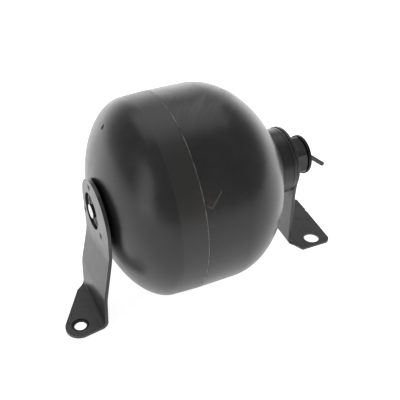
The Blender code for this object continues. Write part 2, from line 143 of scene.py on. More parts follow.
def place(finish, scale=(1, 1, 1), turnZ=0.0):
    # object coordinates, centred on the seam, turned about Z and then stretched
    coords = addNode(finish, "ShaderNodeTexCoord")
    centred = addNode(finish, "ShaderNodeMapping")
    centred.inputs["Location"].default_value = -(Matrix.Rotation(turnZ, 3, 'Z') @ seam)
    centred.inputs["Rotation"].default_value = (0.0, 0.0, turnZ)
    link(finish, coords.outputs["Object"], centred.inputs["Vector"])
    mapping = addNode(finish, "ShaderNodeMapping")
    mapping.inputs["Scale"].default_value = scale
    link(finish, centred.outputs["Vector"], mapping.inputs["Vector"])
    return mapping.outputs["Vector"]


def noise(finish, where, scale, detail=4.0, rough=0.55):
    node = addNode(finish, "ShaderNodeTexNoise")
    node.inputs["Scale"].default_value = scale
    node.inputs["Detail"].default_value = detail
    node.inputs["Roughness"].default_value = rough
    link(finish, where, node.inputs["Vector"])
    return node.outputs["Fac"]


def remap(finish, value, low, high, toLow, toHigh):
    node = addNode(finish, "ShaderNodeMapRange")
    node.inputs["From Min"].default_value = low
    node.inputs["From Max"].default_value = high
    node.inputs["To Min"].default_value = toLow
    node.inputs["To Max"].default_value = toHigh
    link(finish, value, node.inputs["Value"])
    return node.outputs["Result"]


def combine(finish, operation, a, b):
    node = addNode(finish, "ShaderNodeMath", operation=operation)
    for slotNumber, value in enumerate((a, b)):
        if isinstance(value, (int, float)):
            node.inputs[slotNumber].default_value = value
        else:
            link(finish, value, node.inputs[slotNumber])
    return node.outputs["Value"]


def mixColour(finish, factor, first, second):
    node = addNode(finish, "ShaderNodeMix", data_type='RGBA')
    if isinstance(factor, (int, float)):
        node.inputs["Factor"].default_value = factor
    else:
        link(finish, factor, node.inputs["Factor"])
    for socket, value in ((node.inputs[6], first), (node.inputs[7], second)):
        if isinstance(value, tuple):
            socket.default_value = (*value, 1.0)
        else:
            link(finish, value, socket)
    return node.outputs[2]


def addBump(finish, height, strength, distance, after=None):
    node = addNode(finish, "ShaderNodeBump")
    node.inputs["Strength"].default_value = strength
    node.inputs["Distance"].default_value = distance
    link(finish, height, node.inputs["Height"])
    if after:
        link(finish, after, node.inputs["Normal"])
    return node.outputs["Normal"]


def shaderOf(finish):
    return finish.node_tree.nodes["Principled BSDF"]


# the tank's black coat: satin, slightly mottled, with fine turning lines, rubs and small marks
coatLook = {"colour": (0.013, 0.013, 0.0138), "worn": (0.021, 0.021, 0.0215),
            "band": (0.031, 0.0305, 0.029), "dot": (0.006, 0.006, 0.006),
            "dusty": (0.075, 0.075, 0.073), "stain": (0.050, 0.038, 0.028),
            "scratch": (0.12, 0.115, 0.10), "roughness": (0.25, 0.36)}


def spotMask(finish, where, centre, radii, soft=0.35):
    # 1 inside an ellipsoid about a point, fading to 0 at its edge
    mapping = addNode(finish, "ShaderNodeMapping")
    mapping.vector_type = 'POINT'
    mapping.inputs["Location"].default_value = [-centre[i] / radii[i] for i in range(3)]
    mapping.inputs["Scale"].default_value = [1 / radius for radius in radii]
    link(finish, where, mapping.inputs["Vector"])
    length = addNode(finish, "ShaderNodeVectorMath", operation='LENGTH')
    link(finish, mapping.outputs["Vector"], length.inputs[0])
    return remap(finish, length.outputs["Value"], soft, 1.0, 1.0, 0.0)


def strokeMask(finish, where, start, end, width):
    # 1 along a short straight scratch between two points, 0 a hair's breadth away from it
    start, end = Vector(start), Vector(end)
    run = end - start
    moved = addNode(finish, "ShaderNodeVectorMath", operation='SUBTRACT')
    link(finish, where, moved.inputs[0])
    moved.inputs[1].default_value = start
    along = addNode(finish, "ShaderNodeVectorMath", operation='DOT_PRODUCT')
    link(finish, moved.outputs["Vector"], along.inputs[0])
    along.inputs[1].default_value = run / run.length_squared
    clamped = addNode(finish, "ShaderNodeClamp")
    link(finish, along.outputs["Value"], clamped.inputs["Value"])
    nearest = addNode(finish, "ShaderNodeVectorMath", operation='SCALE')
    nearest.inputs[0].default_value = run
    link(finish, clamped.outputs["Result"], nearest.inputs["Scale"])
    away = addNode(finish, "ShaderNodeVectorMath", operation='DISTANCE')
    link(finish, moved.outputs["Vector"], away.inputs[0])
    link(finish, nearest.outputs["Vector"], away.inputs[1])
    return remap(finish, away.outputs["Value"], width * 0.4, width, 1.0, 0.0)


def objectPoint(finish):
    return addNode(finish, "ShaderNodeTexCoord").outputs["Object"]


def onTank(x, clock):
    # a point on the tank's barrel: radii from the seam, and degrees up from +Y
    angle = math.radians(clock)
    return fromSeam(x, math.cos(angle), math.sin(angle))


# small marks in the coat: a fleck high on the gas dome, rubs on top, and a stain by a scratch
marks = {"fleck": fromSeam(-0.516, 0.163, 0.769), "fleckSize": (1.8 * mm, 1.8 * mm, 1.8 * mm),
         "rubs": onTank(0.36, 97), "rubsSize": (32 * mm, 26 * mm, 16 * mm),
         "stain": onTank(0.03, 154), "stainSize": (11 * mm, 12 * mm, 12 * mm),
         "scratch": (onTank(0.020, 155), onTank(0.064, 157), onTank(0.176, 150)),
         "scratchWidth": (0.40 * mm, 0.55 * mm)}


def bandMask(finish, point):
    # 1 on the skimmed band between the gas dome's edge and the seam
    split = addNode(finish, "ShaderNodeSeparateXYZ")
    link(finish, point, split.inputs["Vector"])
    edge = seam.x - tank["bandLength"] * tankRadius
    left = remap(finish, split.outputs["X"], edge - 0.15 * mm, edge + 0.05 * mm, 0.0, 1.0)
    right = remap(finish, split.outputs["X"], seam.x - 0.2 * mm, seam.x, 1.0, 0.0)
    return combine(finish, 'MULTIPLY', left, right)


def makeTankCoat():
    finish = newFinish("satinBlackCoat", coatLook["colour"], 0.4)
    point = objectPoint(finish)
    band = bandMask(finish, point)
    low, high = coatLook["roughness"]
    mottle = noise(finish, point, 70, 5, 0.6)
    fineMottle = noise(finish, point, 900, 3, 0.6)
    turned = noise(finish, place(finish, (2600, 18, 18)), 1.0, 3, 0.7)
    drawn = noise(finish, place(finish, (22, 150, 150), 0.35), 1.0, 4, 0.65)
    dust = remap(finish, noise(finish, point, 900, 1, 0.5), 0.76, 0.80, 0.0, 1.0)
    rubs = remap(finish, noise(finish, place(finish, (160, 30, 30), turnZ=0.7), 1.0, 5, 0.7),
                 0.46, 0.62, 0.0, 1.0)
    rubbed = spotMask(finish, point, marks["rubs"], marks["rubsSize"], 0.2)
    rubMask = combine(finish, 'MULTIPLY', rubs, rubbed)
    stain = combine(finish, 'MULTIPLY',
                    spotMask(finish, point, marks["stain"], marks["stainSize"], 0.1),
                    remap(finish, noise(finish, point, 260, 5, 0.7), 0.42, 0.62, 0.0, 1.0))
    start, turn, end = marks["scratch"]
    thin, wide = marks["scratchWidth"]
    scratch = combine(finish, 'MAXIMUM', strokeMask(finish, point, turn, end, wide),
                      strokeMask(finish, point, start, turn, thin))
    dot = spotMask(finish, point, marks["fleck"], marks["fleckSize"], 0.5)
    colour = mixColour(finish, remap(finish, mottle, 0.35, 0.70, 0.0, 1.0),
                       coatLook["colour"], coatLook["worn"])
    for mask, share, tint in ((band, 0.75, "band"), (dust, 0.5, "dusty"),
                              (rubMask, 0.85, "dusty"), (stain, 0.8, "stain"),
                              (scratch, 0.55, "scratch"), (dot, 1.0, "dot")):
        colour = mixColour(finish, combine(finish, 'MULTIPLY', mask, share), colour,
                           coatLook[tint])
    link(finish, colour, shaderOf(finish).inputs["Base Color"])
    gloss = remap(finish, combine(finish, 'ADD', combine(finish, 'MULTIPLY', mottle, 0.7),
                                  combine(finish, 'MULTIPLY', drawn, 0.5)),
                  0.35, 0.85, low, high)
    for mask, duller in ((rubMask, 0.16), (band, 0.06), (dot, 0.5)):
        gloss = combine(finish, 'ADD', gloss, combine(finish, 'MULTIPLY', mask, duller))
    link(finish, gloss, shaderOf(finish).inputs["Roughness"])
    normal = addBump(finish, fineMottle, 0.07, 0.00008)
    normal = addBump(finish, turned, 0.10, 0.00006, normal)
    normal = addBump(finish, drawn, 0.06, 0.00012, normal)
    normal = addBump(finish, combine(finish, 'SUBTRACT', 1.0, dot), 1.0, 0.00060, normal)
    link(finish, normal, shaderOf(finish).inputs["Normal"])
    return finish


# the brackets' coat: a little greyer than the tank's, with rolling grain and rubbed edges
bracketLook = {"colour": (0.026, 0.026, 0.027), "worn": (0.040, 0.040, 0.0405),
               "rubbed": (0.17, 0.17, 0.165), "roughness": (0.27, 0.35)}


def makeBracketCoat():
    finish = newFinish("bracketCoat", bracketLook["colour"], 0.4)
    point = objectPoint(finish)
    grain = noise(finish, place(finish, (90, 420, 20)), 1.0, 4, 0.65)
    mottle = noise(finish, point, 120, 4, 0.6)
    fine = noise(finish, point, 1500, 3, 0.6)
    edge = addNode(finish, "ShaderNodeNewGeometry").outputs["Pointiness"]
    wear = combine(finish, 'MULTIPLY', remap(finish, edge, 0.53, 0.60, 0.0, 1.0),
                   remap(finish, noise(finish, point, 500, 3, 0.6), 0.45, 0.62, 0.0, 1.0))
    colour = mixColour(finish, remap(finish, grain, 0.35, 0.72, 0.0, 1.0),
                       bracketLook["colour"], bracketLook["worn"])
    colour = mixColour(finish, combine(finish, 'MULTIPLY', wear, 0.35), colour,
                       bracketLook["rubbed"])
    link(finish, colour, shaderOf(finish).inputs["Base Color"])
    low, high = bracketLook["roughness"]
    link(finish, remap(finish, mottle, 0.3, 0.75, low, high),
         shaderOf(finish).inputs["Roughness"])
    normal = addBump(finish, fine, 0.05, 0.00004)
    normal = addBump(finish, grain, 0.08, 0.00003, normal)
    link(finish, normal, shaderOf(finish).inputs["Normal"])
    return finish


# black-passivated zinc on the nut, washer and pin: darker metal with a soft sheen
def makeBlackZinc():
    finish = newFinish("blackZinc", (0.045, 0.045, 0.048), 0.35, 0.35)
    point = objectPoint(finish)
    cut = noise(finish, place(finish, (2400, 60, 60)), 1.0, 3, 0.7)
    cloud = noise(finish, point, 180, 4, 0.6)
    link(finish, mixColour(finish, remap(finish, cloud, 0.35, 0.7, 0.0, 1.0),
                           (0.024, 0.024, 0.026), (0.052, 0.052, 0.055)),
         shaderOf(finish).inputs["Base Color"])
    link(finish, remap(finish, cloud, 0.3, 0.7, 0.28, 0.44),
         shaderOf(finish).inputs["Roughness"])
    link(finish, addBump(finish, cut, 0.16, 0.00008), shaderOf(finish).inputs["Normal"])
    return finish


# bare steel: bright, with rings from the lathe
def makeBareSteel():
    finish = newFinish("bareSteel", (0.60, 0.59, 0.57), 0.28, 1.0)
    rings = noise(finish, place(finish, (40, 2600, 2600)), 1.0, 3, 0.6)
    cloud = noise(finish, objectPoint(finish), 420, 4, 0.6)
    link(finish, mixColour(finish, remap(finish, cloud, 0.4, 0.7, 0.0, 1.0),
                           (0.62, 0.61, 0.59), (0.42, 0.40, 0.37)),
         shaderOf(finish).inputs["Base Color"])
    link(finish, remap(finish, cloud, 0.3, 0.7, 0.20, 0.42),
         shaderOf(finish).inputs["Roughness"])
    link(finish, addBump(finish, rings, 0.12, 0.00005), shaderOf(finish).inputs["Normal"])
    return finish


# moulded black plastic with a fine spark texture
def makeBlackPlastic():
    finish = newFinish("mouldedPlastic", (0.008, 0.008, 0.0085), 0.50, 0.0, 0.30)
    point = objectPoint(finish)
    spark = noise(finish, point, 2600, 3, 0.65)
    cloud = noise(finish, point, 160, 3, 0.5)
    link(finish, mixColour(finish, cloud, (0.005, 0.005, 0.0055), (0.012, 0.012, 0.0125)),
         shaderOf(finish).inputs["Base Color"])
    link(finish, remap(finish, spark, 0.3, 0.7, 0.42, 0.60),
         shaderOf(finish).inputs["Roughness"])
    link(finish, addBump(finish, spark, 0.20, 0.00008), shaderOf(finish).inputs["Normal"])
    return finish


# moulded rubber, matt and a little dusty
def makeRubber():
    finish = newFinish("mouldedRubber", (0.016, 0.016, 0.016), 0.75, 0.0, 0.35)
    point = objectPoint(finish)
    skin = noise(finish, point, 1300, 4, 0.65)
    bloom = noise(finish, point, 90, 4, 0.6)
    link(finish, mixColour(finish, remap(finish, bloom, 0.4, 0.75, 0.0, 1.0),
                           (0.013, 0.013, 0.013), (0.032, 0.031, 0.030)),
         shaderOf(finish).inputs["Base Color"])
    link(finish, remap(finish, bloom, 0.3, 0.7, 0.65, 0.85),
         shaderOf(finish).inputs["Roughness"])
    link(finish, addBump(finish, skin, 0.25, 0.00012), shaderOf(finish).inputs["Normal"])
    return finish


# the seam's bead: a painted highlight, a light grey that varies in patches and stands in for
# the light the raised bead catches
def makeSeamBeadHighlight():
    finish = newFinish("seamBeadPaintedHighlight", (0.10, 0.10, 0.098), 0.34, 0.3)
    point = objectPoint(finish)
    patch = noise(finish, point, 150, 4, 0.6)
    # the lighter greys here are painted highlight, not the bead's own colour
    link(finish, mixColour(finish, remap(finish, patch, 0.35, 0.65, 0.0, 1.0),
                           (0.05, 0.05, 0.049), (0.22, 0.215, 0.205)),
         shaderOf(finish).inputs["Base Color"])
    link(finish, remap(finish, patch, 0.3, 0.7, 0.42, 0.28),
         shaderOf(finish).inputs["Roughness"])
    link(finish, addBump(finish, noise(finish, point, 1800, 3, 0.6), 0.2, 0.00006),
         shaderOf(finish).inputs["Normal"])
    return finish


tankCoat = makeTankCoat()
seamBeadHighlightCoat = makeSeamBeadHighlight()
bracketCoat = makeBracketCoat()
blackZinc = makeBlackZinc()
bareSteel = makeBareSteel()
blackPlastic = makeBlackPlastic()
rubberSkin = makeRubber()
print("finishes ready")


def domeDepth(radius, edgeRadius, depth, curve):
    along, across = curve
    return depth * max(0.0, 1.0 - (radius / edgeRadius) ** across) ** (1.0 / along)


def gasDomeX(radius, offset=0.0):
    # place of the gas dome's outer face at a radius, in metres from the seam
    depth = domeDepth(radius, tank["bandRadius"] * tankRadius, tank["gasDepth"] * tankRadius,
                      tank["gasCurve"])
    return -tank["bandLength"] * tankRadius - depth - offset


def fluidDomeX(radius, offset=0.0):
    depth = domeDepth(radius, tankRadius, tank["fluidDepth"] * tankRadius, tank["fluidCurve"])
    return tank["barrel"] * tankRadius + depth + offset


def domeOutline(edge, direction, depth, radius, curve, toRadius, count):
    along, across = curve
    last = domeDepth(toRadius, radius, depth, curve) / depth
    points = []
    for i in range(count):
        fraction = last * math.sin(0.5 * math.pi * i / (count - 1))
        width = radius * max(0.0, 1.0 - fraction ** along) ** (1.0 / across)
        points.append((edge + direction * depth * fraction, width))
    return points


def makeGasShell():
    band = tank["bandLength"] * tankRadius
    bandRadius = tank["bandRadius"] * tankRadius
    depth = tank["gasDepth"] * tankRadius
    bore, seal = tank["fillBore"], tank["sealSeat"]
    # the band was skimmed in a lathe, so it ends in a small step down to the drawn dome
    edge = [(-band + 0.05 * mm, bandRadius)]
    outer = domeOutline(-band - tank["stepRun"], -1, depth - tank["stepRun"],
                        bandRadius - tank["bandStep"], tank["gasCurve"], seal,
                        tank["outlinePoints"])
    inner = domeOutline(-band, -1, depth - tank["wall"], bandRadius - tank["wall"] + 0.5 * mm,
                        tank["gasCurve"], bore, tank["innerPoints"])
    rim = [(-gap / 2, tank["seatRadius"]), (-gap / 2, tankRadius - 0.9 * mm),
           (-0.34 * mm, tankRadius - 0.12 * mm), (-0.60 * mm, tankRadius - 0.03 * mm)]
    sealFloor = outer[-1][0] + tank["sealSeatDepth"]
    fill = [(sealFloor, seal), (sealFloor, bore)]
    seat = [(-tank["seatDepth"] - 2 * mm, tank["seatRadius"] - 1.5 * mm),
            (-tank["seatDepth"] - 2 * mm, tank["seatRadius"])]
    bm = spinProfile(rim + edge + outer + fill + inner[::-1] + seat, tank["steps"])
    keepMesh(bm, "gasShellSkin", tankCoat, "tank", ["gas_shell"], 14)


def makeFluidShell():
    barrel = tank["barrel"] * tankRadius
    depth = tank["fluidDepth"] * tankRadius
    hole = tank["neckHole"]
    outer = domeOutline(barrel, 1, depth, tankRadius, tank["fluidCurve"], hole,
                        tank["outlinePoints"])
    inner = domeOutline(barrel, 1, depth - tank["wall"], tankRadius - tank["wall"],
                        tank["fluidCurve"], hole, tank["innerPoints"])
    rim = [(gap / 2, tank["seatRadius"]), (gap / 2, tankRadius - 0.9 * mm),
           (0.34 * mm, tankRadius - 0.10 * mm), (0.60 * mm, tankRadius)]
    seat = [(tank["seatDepth"], tankRadius - tank["wall"]),
            (tank["seatDepth"], tank["seatRadius"])]
    bm = spinProfile(rim + outer + inner[::-1] + seat, tank["steps"])
    keepMesh(bm, "fluidShellSkin", tankCoat, "tank", ["fluid_shell"], 14)


seamBead = {"rise": 0.03 * mm, "round": 0.36 * mm, "scales": 240, "ripple": 0.018 * mm,
            "wander": 0.03 * mm, "dip": 0.03 * mm, "steps": 720}


def makeSeamWeld():
    # a low bead with the faint ripple that a turned weld leaves
    look = seamBead
    top = tankRadius + look["rise"]
    section = arcPoints((0.0, top - look["round"]), look["round"], 180, 0, 9)
    outline = [(-0.10 * mm, top - 1.0 * mm)] + section + [(0.10 * mm, top - 1.0 * mm)]
    bm = spinProfile(outline, look["steps"])
    for vert in bm.verts:
        reach = vert.co - seam
        angle = math.atan2(reach.z, reach.y)
        radius = math.hypot(reach.y, reach.z)
        if radius > top - look["round"]:
            vert.co.x += (look["ripple"] * math.sin(angle * look["scales"])
                          + look["wander"] * math.sin(angle * 7 + 1.3))
            wave = (1 + math.sin(angle * look["scales"] + 0.8)) / 2
            lower = 1 - look["dip"] * wave / radius
            vert.co.y = seam.y + reach.y * lower
            vert.co.z = seam.z + reach.z * lower
    # the bead takes the painted-highlight grey
    keepMesh(bm, "seamWeldBead", seamBeadHighlightCoat, "tank", ["seam_weld"], 50)


makeGasShell()
makeFluidShell()
makeSeamWeld()
print("tank ready")


neck = {"collarRadius": 0.348, "shoulderX": 1.320, "shankRadius": 9.0 * mm,
        "spigotRadius": 6.9 * mm, "boreRadius": 4.0 * mm, "weldLeg": 2.3 * mm, "steps": 128}
washer = {"radius": 14.0 * mm, "thickness": 1.2 * mm}
nut = {"acrossFlats": 23.2 * mm, "roundTo": 12.75 * mm, "length": 9.5 * mm, "turn": 23.8}
plug = {"radius": 12.6 * mm, "flange": 2.2 * mm, "shankLength": 10.0 * mm}
pin = {"radius": 1.55 * mm, "run": Vector((15.2 * mm, 0.0, -12.4 * mm))}

# where the pieces on the spigot start, each a gap beyond the last
shoulderX = neck["shoulderX"] * tankRadius
plateX = shoulderX + gap + sheet
washerX = plateX + gap
nutX = washerX + washer["thickness"] + gap
spigotEndX = nutX + nut["length"]
plugX = spigotEndX + gap


def makePortNeck():
    inside = (tank["barrel"] + tank["fluidDepth"]) * tankRadius - tank["wall"] - 0.2 * mm
    collar = neck["collarRadius"] * tankRadius
    shank, bore, spigot = neck["shankRadius"], neck["boreRadius"], neck["spigotRadius"]
    saddle = []
    for i in range(12):
        radius = shank + (collar - shank) * i / 11
        saddle.append((fluidDomeX(max(radius, shank + gap), seatClearance), radius))
    soft = 0.9 * mm
    edge = arcPoints((shoulderX - soft, collar - soft), soft, 90, 0, 7)
    # a shallow turned groove runs round the collar just under its shoulder
    grooveFloor = collar - 0.22 * mm
    groove = [(shoulderX - 2.9 * mm, collar), (shoulderX - 2.7 * mm, grooveFloor),
              (shoulderX - 2.3 * mm, grooveFloor), (shoulderX - 2.1 * mm, collar)]
    threadStart = shoulderX + 1.0 * mm
    pitch, threadDepth = 1.5 * mm, 0.55 * mm
    thread = []
    for i in range(8):
        x = threadStart + i * pitch
        thread += [(x, spigot), (x + pitch / 2, spigot - threadDepth)]
    profile = [(inside, tank["buttonSeat"]), (inside, shank)] + saddle + groove + edge + [
        (shoulderX, spigot)] + thread + [
        (spigotEndX - 0.8 * mm, spigot), (spigotEndX, spigot - 0.8 * mm),
        (spigotEndX, bore + 0.4 * mm), (spigotEndX - 0.4 * mm, bore),
        (inside + 3.5 * mm, bore), (inside + 2.7 * mm, tank["buttonSeat"])]
    bm = spinProfile(profile, neck["steps"])
    keepMesh(bm, "portNeckTurned", tankCoat, "tank", ["port_neck"], 28)


def makeNeckWeld():
    # a fillet bead whose face waves a little, in overlapping scales
    inner = neck["collarRadius"] * tankRadius + gap
    foot = inner - gap + neck["weldLeg"]
    root = [(fluidDomeX(inner + (foot - inner) * i / 5, seatClearance),
             inner + (foot - inner) * i / 5) for i in range(6)]
    face = [(fluidDomeX(foot, 0.9 * mm), foot)]
    for i in range(1, 8):
        share = i / 8
        radius = foot + (inner - foot) * share
        crown = 0.35 * mm * math.sin(math.pi * share)
        face.append((fluidDomeX(radius, 0.8 * mm + 1.6 * mm * share + crown), radius))
    face.append((fluidDomeX(inner, 2.4 * mm), inner))
    bm = spinProfile(root + face, 360)
    for vert in bm.verts:
        reach = vert.co - seam
        radius = math.hypot(reach.y, reach.z)
        if fluidDomeX(radius, 0.7 * mm) < reach.x and inner + 0.1 * mm < radius:
            angle = math.atan2(reach.z, reach.y)
            share = (radius - inner) / (foot - inner)
            scale = math.sin(angle * 46 + 2.2 * share) ** 2
            vert.co.x -= 0.16 * mm * scale * math.sin(math.pi * min(1.0, share))
    keepMesh(bm, "neckWeldBead", tankCoat, "tank", ["neck_weld"], 60)


def makeWasher():
    start, end = washerX, washerX + washer["thickness"]
    inner, outer = neck["spigotRadius"] + 0.5 * mm, washer["radius"]
    soft = 0.25 * mm
    profile = [(start + 0.1 * mm, inner), (start, inner + 0.1 * mm), (start, outer - soft)]
    profile += arcPoints((start + soft, outer - soft), soft, 180, 90, 4)[1:]
    profile += arcPoints((end - soft, outer - soft), soft, 90, 0, 4)
    profile += [(end, inner + 0.1 * mm), (end - 0.1 * mm, inner)]
    bm = spinProfile(profile, neck["steps"])
    keepMesh(bm, "washerRing", blackZinc, "tank", ["bracket_washer"])


def loosePiece(bm, name):
    mesh = bpy.data.meshes.new(name)
    bm.to_mesh(mesh)
    bm.free()
    piece = bpy.data.objects.new(name, mesh)
    bpy.context.scene.collection.objects.link(piece)
    return piece


def cutWith(piece, tool, operation='DIFFERENCE'):
    step = piece.modifiers.new(tool.name, 'BOOLEAN')
    step.operation = operation
    step.object = tool


def softenEdges(piece, width, segments, angle):
    bevel = piece.modifiers.new("edges", 'BEVEL')
    bevel.width = width
    bevel.segments = segments
    bevel.limit_method = 'ANGLE'
    bevel.angle_limit = math.radians(angle)
    bevel.harden_normals = False
    weighted = piece.modifiers.new("normals", 'WEIGHTED_NORMAL')
    weighted.keep_sharp = True
    weighted.weight = 60


def settle(piece, tools, finish, body, nodes):
    # applies the piece's modifiers, then removes its cutters
    for polygon in piece.data.polygons:
        polygon.use_smooth = True
    bpy.context.view_layer.update()
    graph = bpy.context.evaluated_depsgraph_get()
    made = bpy.data.meshes.new_from_object(piece.evaluated_get(graph))
    old = piece.data
    piece.modifiers.clear()
    piece.data = made
    bpy.data.meshes.remove(old)
    made.materials.clear()
    made.materials.append(finish)
    for tool in tools:
        bpy.data.objects.remove(tool)
    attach(piece, body)
    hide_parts(*nodes)


def roundTool(centre, radius, depth=12 * mm, axis='Z', steps=96):
    bm = bmesh.new()
    bmesh.ops.create_cone(bm, cap_ends=True, segments=steps, radius1=radius, radius2=radius,
                          depth=depth)
    if axis == 'X':
        bmesh.ops.rotate(bm, verts=bm.verts, matrix=Matrix.Rotation(math.pi / 2, 3, 'Y'))
    bmesh.ops.translate(bm, verts=bm.verts, vec=centre)
    return loosePiece(bm, "cutter")


def makeNut():
    flats, length = nut["acrossFlats"], nut["length"]
    corner = flats / math.sqrt(3)
    bm = bmesh.new()
    bmesh.ops.create_cone(bm, cap_ends=True, segments=6, radius1=corner, radius2=corner,
                          depth=length,
                          matrix=Matrix.Translation((0, 0, nutX + length / 2)))
    bmesh.ops.rotate(bm, verts=bm.verts,
                     matrix=Matrix.Rotation(math.radians(nut["turn"]), 3, 'Z'))
    bmesh.ops.rotate(bm, verts=bm.verts, matrix=Matrix.Rotation(math.pi / 2, 3, 'Y'))
    bmesh.ops.translate(bm, verts=bm.verts, vec=seam)
    piece = loosePiece(bm, "hexNut")
    # the corners are turned down a little, so the nut is round between its flats
    chamfer = [(nutX - 1 * mm, 0.0), (nutX - 1 * mm, flats / 2 - 0.2 * mm),
               (nutX, flats / 2 + 0.3 * mm), (nutX + 1.0 * mm, nut["roundTo"]),
               (nutX + length - 1.1 * mm, nut["roundTo"]),
               (nutX + length + 0.4 * mm, flats / 2 - 0.7 * mm),
               (nutX + length + 0.4 * mm, 0.0)]
    tools = [loosePiece(spinProfile(chamfer, 96), "cutter"),
             roundTool(seam + Vector((nutX + length / 2, 0, 0)),
                       neck["spigotRadius"] + 0.3 * mm, 20 * mm, 'X')]
    cutWith(piece, tools[0], 'INTERSECT')
    cutWith(piece, tools[1])
    softenEdges(piece, 0.22 * mm, 3, 18)
    settle(piece, tools, blackZinc, "tank", ["bracket_nut"])


def makeTransportPlug():
    # a flanged cap: rounded rim, dished face, and a small boss that the pin stands in
    radius, flange = plug["radius"], plug["flange"]
    face = plugX + flange
    shank = neck["boreRadius"] - gap
    soft = 0.6 * mm
    profile = [(face, 0.0), (face, 2.3 * mm), (face - 0.25 * mm, 2.55 * mm),
               (face - 0.7 * mm, 2.9 * mm), (face - 0.7 * mm, radius - 2.6 * mm),
               (face - 0.1 * mm, radius - 2.0 * mm), (face, radius - 1.7 * mm),
               (face, radius - soft)]
    profile += arcPoints((face - soft, radius - soft), soft, 0, 90, 8)[1:]
    profile += [(plugX + 0.3 * mm, radius), (plugX, radius - 0.3 * mm), (plugX, shank)]
    for i in range(3):
        # sealing ribs on the shank
        x = plugX - (2.0 + 2.2 * i) * mm
        profile += [(x + 0.5 * mm, shank - 0.25 * mm), (x, shank),
                    (x - 0.7 * mm, shank - 0.25 * mm)]
    end = plugX - plug["shankLength"]
    profile += [(end + 1.0 * mm, shank - 0.3 * mm), (end, shank - 0.9 * mm), (end, 0.0)]
    bm = spinProfile(profile, 96)
    keepMesh(bm, "transportPlugMoulding", blackPlastic, "plug",
             ["transport_plug"], 32)


def makePullPin():
    start = seam + Vector((plugX + plug["flange"] + 2 * gap + pin["radius"], 0, 0))
    length = pin["run"].length
    bm = bmesh.new()
    bmesh.ops.create_uvsphere(bm, u_segments=32, v_segments=16, radius=pin["radius"])
    for vert in bm.verts:
        if vert.co.z > 0.01 * mm:
            vert.co.z += length
    # rolled grooves near the free end
    ring = [edge for edge in bm.edges
            if abs(edge.verts[0].co.z - edge.verts[1].co.z) > length / 2]
    bmesh.ops.subdivide_edges(bm, edges=ring, cuts=60)
    for vert in bm.verts:
        share = vert.co.z / length
        if 0.55 < share < 0.93:
            waist = 1 - 0.07 * (0.5 + 0.5 * math.cos(share * length / (0.5 * mm) * math.pi))
            vert.co.x *= waist
            vert.co.y *= waist
    bm.transform(Matrix.Translation(start) @ pin["run"].to_track_quat('Z', 'Y').to_matrix()
                 .to_4x4())
    keepMesh(bm, "pullPin", blackZinc, "plug", ["plug_pull_pin"], 40)


makePortNeck()
makeNeckWeld()
makeWasher()
makeNut()
makeTransportPlug()
makePullPin()
print("port end ready")


def foldedSheet(name, plate, folds, foot, bends):
    # a plate, folded along its creases, then a foot; the outlines lie on the sheet's outer side
    bm = bmesh.new()
    start = [bm.verts.new(point) for point in plate]
    bm.faces.new(start)
    crease = bm.edges.get((start[0], start[1]))
    ends = [start[0], start[1]]
    creases = [crease]
    for first, second in folds:
        made = bmesh.ops.extrude_edge_only(bm, edges=[crease])["geom"]
        fresh = [item for item in made if isinstance(item, bmesh.types.BMVert)]
        fresh.sort(key=lambda vert: (vert.co - ends[0].co).length)
        fresh[0].co = first
        fresh[1].co = second
        ends = fresh
        crease = bm.edges.get(ends)
        creases.append(crease)
    rest = [bm.verts.new(point) for point in foot]
    bm.faces.new([ends[0]] + rest + [ends[1]])
    bmesh.ops.recalc_face_normals(bm, faces=bm.faces)
    for edge, radius in zip(creases, bends):
        bmesh.ops.bevel(bm, geom=[edge], offset=radius, offset_type='OFFSET', segments=14,
                        profile=0.5, affect='EDGES', material=-1)
    bm.normal_update()
    facing = sum(face.normal.z * face.calc_area() for face in bm.faces)
    if facing < 0:
        bmesh.ops.reverse_faces(bm, faces=bm.faces)
    piece = loosePiece(bm, name)
    thicken = piece.modifiers.new("thickness", 'SOLIDIFY')
    thicken.thickness = sheet
    thicken.offset = -1.0
    thicken.use_even_offset = True
    return piece


weldSpots = {"circle": 0.270, "radius": 1.6 * mm, "clock": (90, 210, 330)}
gasBracket = {"plateX": -0.757, "plateRadius": 0.371, "plateOffset": -0.102,
              "plateHole": 0.185, "footHole": (-1.108, -0.440), "footNose": 0.145,
              "boltRadius": 5.0 * mm, "ringBore": 3.6 * mm, "ringFit": 0.04 * mm,
              "locatingHole": (-1.205, -0.385), "locatingRadius": 0.9 * mm,
              "bends": (3.0 * mm, 2.5 * mm, 2.0 * mm)}
portBracket = {"plateRadius": 0.348, "plateOffset": 0.012, "footHole": (1.644, -0.284),
               "boltRadius": 5.0 * mm, "bends": (4.0 * mm, 1.4 * mm)}
footLevel = sheet / tankRadius - 1


def weldSpotPlaces():
    places = []
    for clock in weldSpots["clock"]:
        angle = math.radians(clock)
        places.append((weldSpots["circle"] * math.cos(angle),
                       weldSpots["circle"] * math.sin(angle)))
    return places


